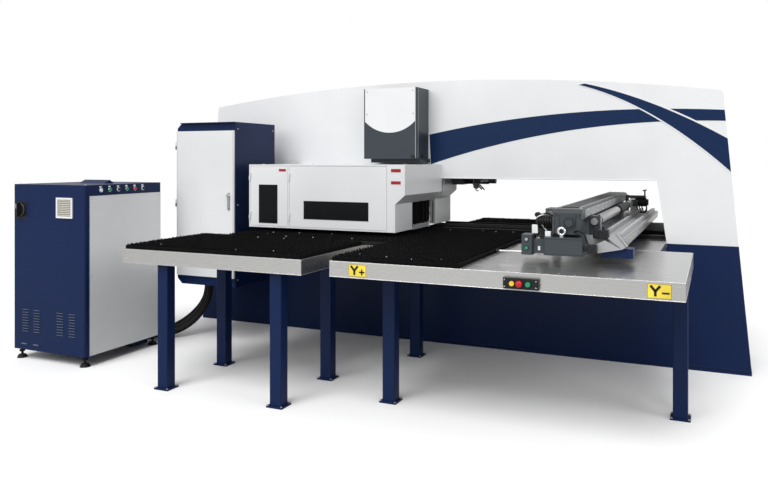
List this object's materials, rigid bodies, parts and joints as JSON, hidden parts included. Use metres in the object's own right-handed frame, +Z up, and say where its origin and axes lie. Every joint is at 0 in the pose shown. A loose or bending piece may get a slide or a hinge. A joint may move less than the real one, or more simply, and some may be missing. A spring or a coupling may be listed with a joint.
{
  "type": "cnc turret punch press",
  "caption": "Closed-frame turret punch press with brush tables, a clamp carriage, covers and two cabinets, for punching flat sheet metal.",
  "frame": {"origin": "the punch axis at the floor, under the frame's foot plate", "axes": "+X along the bridge frame to the right as the operator sees it, +Y through the throat away from the operator, +Z up"},
  "size_m": [5.028, 3.136, 2.1198],
  "materials": {
    "frame_paint": "satin",
    "white_panel": "satin",
    "navy_paint": "satin",
    "dark_paint": "satin",
    "stainless": "brushed",
    "brush_black": "bristle",
    "machined_steel": "machined",
    "grey_metal": "satin",
    "black_rubber": "matte",
    "lamp_white": "gloss",
    "button_yellow": "gloss",
    "button_red": "gloss",
    "button_green": "gloss"
  },
  "bodies": {
    "machine": {"press_frame": "frame_paint", "frame_base_plate": "frame_paint", "turret_shafts": "machined_steel", "ram_guide": "machined_steel", "ram_drive": "machined_steel", "index_motor": "dark_paint", "turret_cover": "white_panel", "cover_side_block": "white_panel", "rear_turret_cover": "white_panel", "ram_housing": "dark_paint", "ram_front_panel": "white_panel", "overhead_unit": "grey_metal", "left_table": "stainless", "centre_table": "stainless", "rear_table": "stainless", "left_brush": "brush_black", "centre_brush": "brush_black", "rear_brush": "brush_black", "throat_deck": "stainless", "carriage_rails": "machined_steel", "cable_trough": "stainless", "table_legs": "navy_paint", "electrical_cabinet": "navy_paint", "power_cabinet": "navy_paint", "power_side_panel": "white_panel", "power_grille": "grey_metal", "power_feet": "black_rubber", "indicator_lamps": "lamp_white", "hose_front": "black_rubber", "hose_middle": "black_rubber", "hose_rear": "black_rubber", "button_panel": "dark_paint", "axis_plates": "button_yellow"},
    "upper_turret": {"upper_turret": "machined_steel", "punch_holders": "machined_steel"},
    "lower_turret": {"lower_turret": "machined_steel", "die_holders": "machined_steel"},
    "ram": {"ram": "machined_steel"},
    "cover_door_left": {"cover_door_left": "white_panel"},
    "cover_door_middle": {"cover_door_middle": "white_panel"},
    "cabinet_door": {"cabinet_door": "white_panel"},
    "door_handle": {"door_handle": "grey_metal"},
    "main_switch": {"main_switch": "black_rubber"},
    "power_button_start": {"power_button_start": "button_green"},
    "power_button_reset": {"power_button_reset": "button_green"},
    "power_button_stop": {"power_button_stop": "button_red"},
    "button_yellow": {"button_yellow": "button_yellow"},
    "button_red": {"button_red": "button_red"},
    "button_green": {"button_green": "button_green"},
    "carriage": {"beam": "dark_paint", "beam_bed": "machined_steel", "beam_screw": "machined_steel", "carriage_saddle": "navy_paint", "beam_end_box": "dark_paint", "control_box": "dark_paint"},
    "station_button_white": {"station_button_white": "lamp_white"},
    "station_button_green": {"station_button_green": "button_green"},
    "clamp_slide": {"clamp_slide": "dark_paint"},
    "clamp_jaws": {"clamp_jaws": "machined_steel"}
  },
  "joints": [
    {"name": "turret_index", "type": "hinge", "parent": "machine", "child": "upper_turret", "pos_m": [-0.45, 0, 1], "axis": [0, 0, 1], "continuous": true},
    {"name": "lower_turret_index", "type": "hinge", "parent": "machine", "child": "lower_turret", "pos_m": [-0.45, 0, 0.9], "axis": [0, 0, 1], "continuous": true},
    {"name": "ram_stroke", "type": "slide", "parent": "machine", "child": "ram", "axis": [0, 0, -1], "range_m": [0, 0.04]},
    {"name": "cover_door_left_hinge", "type": "hinge", "parent": "machine", "child": "cover_door_left", "pos_m": [-0.946, -1.103, 1.19], "axis": [0, 0, -1], "range_deg": [0, 110]},
    {"name": "cover_door_middle_hinge", "type": "hinge", "parent": "machine", "child": "cover_door_middle", "pos_m": [-0.59, -1.103, 1.19], "axis": [0, 0, -1], "range_deg": [0, 110]},
    {"name": "cabinet_door_hinge", "type": "hinge", "parent": "machine", "child": "cabinet_door", "pos_m": [-1.679, -1.097, 1.12], "axis": [0, 0, -1], "range_deg": [0, 80]},
    {"name": "door_handle_turn", "type": "hinge", "parent": "cabinet_door", "child": "door_handle", "pos_m": [-1.149, -1.1, 1.196], "axis": [0, 1, 0], "range_deg": [0, 60]},
    {"name": "main_switch_turn", "type": "hinge", "parent": "machine", "child": "main_switch", "pos_m": [-2.334, -2.05, 1.112], "axis": [0, 1, 0], "range_deg": [0, 90]},
    {"name": "power_button_start_press", "type": "slide", "parent": "machine", "child": "power_button_start", "axis": [-1, 0, 0], "range_m": [0, 0.005], "stiffness_N_per_m": 400},
    {"name": "power_button_reset_press", "type": "slide", "parent": "machine", "child": "power_button_reset", "axis": [-1, 0, 0], "range_m": [0, 0.005], "stiffness_N_per_m": 400},
    {"name": "power_button_stop_press", "type": "slide", "parent": "machine", "child": "power_button_stop", "axis": [-1, 0, 0], "range_m": [0, 0.005], "stiffness_N_per_m": 400},
    {"name": "button_yellow_press", "type": "slide", "parent": "machine", "child": "button_yellow", "axis": [0, 1, 0], "range_m": [0, 0.005], "stiffness_N_per_m": 400},
    {"name": "button_red_press", "type": "slide", "parent": "machine", "child": "button_red", "axis": [0, 1, 0], "range_m": [0, 0.005], "stiffness_N_per_m": 400},
    {"name": "button_green_press", "type": "slide", "parent": "machine", "child": "button_green", "axis": [0, 1, 0], "range_m": [0, 0.005], "stiffness_N_per_m": 400},
    {"name": "carriage_slide", "type": "slide", "parent": "machine", "child": "carriage", "axis": [1, 0, 0], "range_m": [-1, 0.08]},
    {"name": "station_button_white_press", "type": "slide", "parent": "carriage", "child": "station_button_white", "axis": [0, 1, 0], "range_m": [0, 0.003], "stiffness_N_per_m": 400},
    {"name": "station_button_green_press", "type": "slide", "parent": "carriage", "child": "station_button_green", "axis": [0, 1, 0], "range_m": [0, 0.003], "stiffness_N_per_m": 400},
    {"name": "clamp_slide_travel", "type": "slide", "parent": "carriage", "child": "clamp_slide", "axis": [0, 1, 0], "range_m": [0, 1.65]},
    {"name": "clamp_jaw_close", "type": "hinge", "parent": "clamp_slide", "child": "clamp_jaws", "pos_m": [1.4424, -1.36, 0.957], "axis": [0, -1, 0], "range_deg": [0, 9]}
  ],
  "couplings": [
    {"joint": "lower_turret_index", "follows": "turret_index", "ratio": 1}
  ]
}
